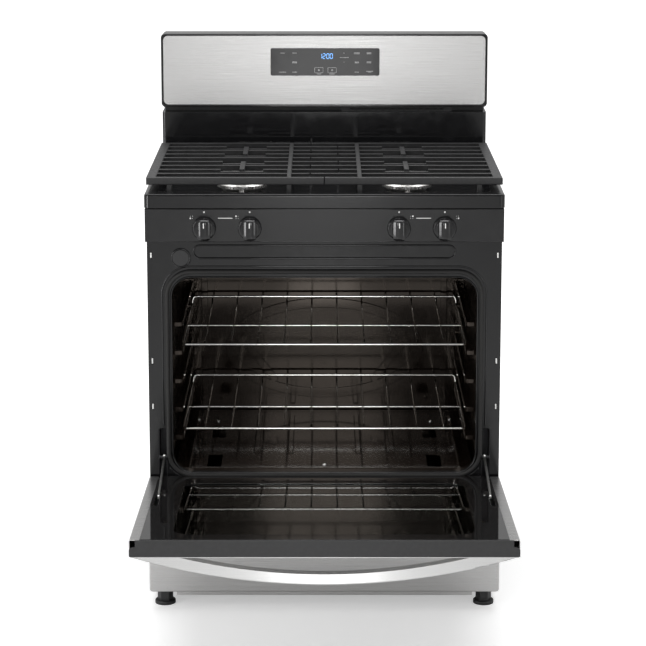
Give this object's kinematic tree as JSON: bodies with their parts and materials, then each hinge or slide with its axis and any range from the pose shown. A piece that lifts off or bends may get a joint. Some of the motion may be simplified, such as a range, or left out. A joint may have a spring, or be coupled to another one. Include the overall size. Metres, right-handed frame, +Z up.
{
  "type": "freestanding gas range",
  "caption": "Freestanding gas range: open burners under cast grates, knob panel, oven with a drop-down glass door and wire racks, storage drawer and touch-control backguard.",
  "frame": {"origin": "on the floor, under the middle of the range with its oven door open on its stop", "axes": "+Z up, the front faces -Y, +X to the right seen from the front"},
  "size_m": [0.7588, 1.1786, 1.1906],
  "materials": {
    "black_enamel": "gloss black enamel",
    "control_panel_enamel": "gloss black enamel with a brushed tone",
    "oven_enamel": "gloss brown-black porcelain enamel with fine flecks",
    "door_liner_enamel": "gloss black porcelain enamel",
    "stainless_steel": "fine horizontal brushing",
    "bow_handle_steel": "satin",
    "rack_chrome": "bright plated wire",
    "grate_iron": "satin black enamelled casting",
    "burner_aluminium": "die-cast, turned rim",
    "cap_enamel": "satin black enamel",
    "igniter_ceramic": "white fired ceramic",
    "knob_plastic": "moulded, satin black",
    "collar_steel": "turned steel",
    "black_plastic": "moulded black",
    "galvanised_steel": "zinc coated sheet, faint spangle",
    "hinge_steel": "zinc plated",
    "hinge_phosphate": "dark phosphated steel",
    "control_glass": "gloss black touch face",
    "door_glass": "tinted toughened glass",
    "burner_steel": "aluminised steel tube",
    "tube_aluminium": "drawn tube",
    "valve_brass": "machined brass",
    "probe_steel": "bright steel sheath",
    "gasket_braid": "braided glass fibre rope",
    "insulation_wool": "glass wool blanket",
    "board_laminate": "circuit board with a black cover"
  },
  "bodies": {
    "chassis": {"back_panel": "galvanised_steel", "backguard_rear_cover": "galvanised_steel", "backguard_shell": "black_enamel", "base_frame": "galvanised_steel", "burner_bases": "burner_aluminium", "burner_caps": "cap_enamel", "burner_heads": "burner_aluminium", "control_board": "board_laminate", "control_panel": "control_panel_enamel", "cooktop": "black_enamel", "door_gasket": "gasket_braid", "drawer_rails": "galvanised_steel", "frame_plug": "black_plastic", "front_frame": "black_enamel", "gas_manifold": "burner_steel", "gas_valves": "valve_brass", "header_panel": "stainless_steel", "header_surround": "black_enamel", "hinge_claws": "hinge_phosphate", "hinge_receivers": "hinge_phosphate", "igniters": "igniter_ceramic", "levelling_legs": "black_plastic", "oven_burners": "burner_steel", "oven_floor": "oven_enamel", "oven_floor_screws": "oven_enamel", "oven_insulation": "insulation_wool", "oven_liner": "oven_enamel", "power_inlet_gland": "black_plastic", "pressure_regulator": "valve_brass", "side_panels": "black_enamel", "supply_tubes": "tube_aluminium", "temperature_probe": "probe_steel", "touch_panel": "control_glass", "vent_trim": "black_plastic"},
    "door": {"door_skin": "stainless_steel", "door_liner": "door_liner_enamel", "door_top_trim": "black_plastic", "door_outer_glass": "door_glass", "door_inner_glass": "door_glass", "door_window_frame": "hinge_steel", "door_hinge_channels": "hinge_steel", "door_hinge_springs": "hinge_steel", "door_handle": "bow_handle_steel"},
    "hinge_link_left": {"hinge_link_left": "hinge_steel"},
    "hinge_link_right": {"hinge_link_right": "hinge_steel"},
    "drawer": {"drawer_front": "stainless_steel", "drawer_pan": "galvanised_steel", "drawer_runners": "galvanised_steel"},
    "oven_rack_lower": {"oven_rack_lower": "rack_chrome"},
    "oven_rack_upper": {"oven_rack_upper": "rack_chrome"},
    "grate_left": {"grate_left": "grate_iron"},
    "grate_right": {"grate_right": "grate_iron"},
    "stem_collar_front_left": {"stem_collar_front_left": "collar_steel"},
    "knob_front_left": {"knob_front_left": "knob_plastic"},
    "stem_collar_rear_left": {"stem_collar_rear_left": "collar_steel"},
    "knob_rear_left": {"knob_rear_left": "knob_plastic"},
    "stem_collar_rear_right": {"stem_collar_rear_right": "collar_steel"},
    "knob_rear_right": {"knob_rear_right": "knob_plastic"},
    "stem_collar_front_right": {"stem_collar_front_right": "collar_steel"},
    "knob_front_right": {"knob_front_right": "knob_plastic"}
  },
  "joints": [
    {"name": "door_hinge", "type": "hinge", "parent": "chassis", "child": "door", "pos_m": [0, -0.05634, 0.274], "axis": [1, 0, 0], "range_deg": [-86.3, 0]},
    {"name": "hinge_link_left_pivot", "type": "hinge", "parent": "chassis", "child": "hinge_link_left", "pos_m": [-0.346, -0.02334, 0.331], "axis": [1, 0, 0], "range_deg": [-93.3, 0.1]},
    {"name": "hinge_link_right_pivot", "type": "hinge", "parent": "chassis", "child": "hinge_link_right", "pos_m": [0.346, -0.02334, 0.331], "axis": [1, 0, 0], "range_deg": [-93.3, 0.1]},
    {"name": "drawer_slide", "type": "slide", "parent": "chassis", "child": "drawer", "axis": [0, -1, 0], "range_m": [0, 0.36]},
    {"name": "rack_lower_slide", "type": "slide", "parent": "chassis", "child": "oven_rack_lower", "axis": [0, -1, 0], "range_m": [0, 0.33]},
    {"name": "rack_upper_slide", "type": "slide", "parent": "chassis", "child": "oven_rack_upper", "axis": [0, -1, 0], "range_m": [0, 0.33]},
    {"name": "grate_left_lift", "type": "slide", "parent": "chassis", "child": "grate_left", "axis": [0, 0, 1], "range_m": [0, 0.1]},
    {"name": "grate_right_lift", "type": "slide", "parent": "chassis", "child": "grate_right", "axis": [0, 0, 1], "range_m": [0, 0.1]},
    {"name": "knob_front_left_push", "type": "slide", "parent": "chassis", "child": "stem_collar_front_left", "axis": [0, 1, 0], "range_m": [0, 0.003], "stiffness_N_per_m": 600},
    {"name": "knob_front_left_turn", "type": "hinge", "parent": "stem_collar_front_left", "child": "knob_front_left", "pos_m": [-0.253, -0.06634, 0.841], "axis": [0, -1, 0], "range_deg": [0, 230]},
    {"name": "knob_rear_left_push", "type": "slide", "parent": "chassis", "child": "stem_collar_rear_left", "axis": [0, 1, 0], "range_m": [0, 0.003], "stiffness_N_per_m": 600},
    {"name": "knob_rear_left_turn", "type": "hinge", "parent": "stem_collar_rear_left", "child": "knob_rear_left", "pos_m": [-0.157, -0.06634, 0.841], "axis": [0, -1, 0], "range_deg": [0, 230]},
    {"name": "knob_rear_right_push", "type": "slide", "parent": "chassis", "child": "stem_collar_rear_right", "axis": [0, 1, 0], "range_m": [0, 0.003], "stiffness_N_per_m": 600},
    {"name": "knob_rear_right_turn", "type": "hinge", "parent": "stem_collar_rear_right", "child": "knob_rear_right", "pos_m": [0.157, -0.06634, 0.841], "axis": [0, -1, 0], "range_deg": [0, 230]},
    {"name": "knob_front_right_push", "type": "slide", "parent": "chassis", "child": "stem_collar_front_right", "axis": [0, 1, 0], "range_m": [0, 0.003], "stiffness_N_per_m": 600},
    {"name": "knob_front_right_turn", "type": "hinge", "parent": "stem_collar_front_right", "child": "knob_front_right", "pos_m": [0.253, -0.06634, 0.841], "axis": [0, -1, 0], "range_deg": [0, 230]}
  ],
  "couplings": [
    {"joint": "hinge_link_left_pivot", "follows": "door_hinge", "ratio": 1.0797},
    {"joint": "hinge_link_right_pivot", "follows": "door_hinge", "ratio": 1.0797}
  ]
}
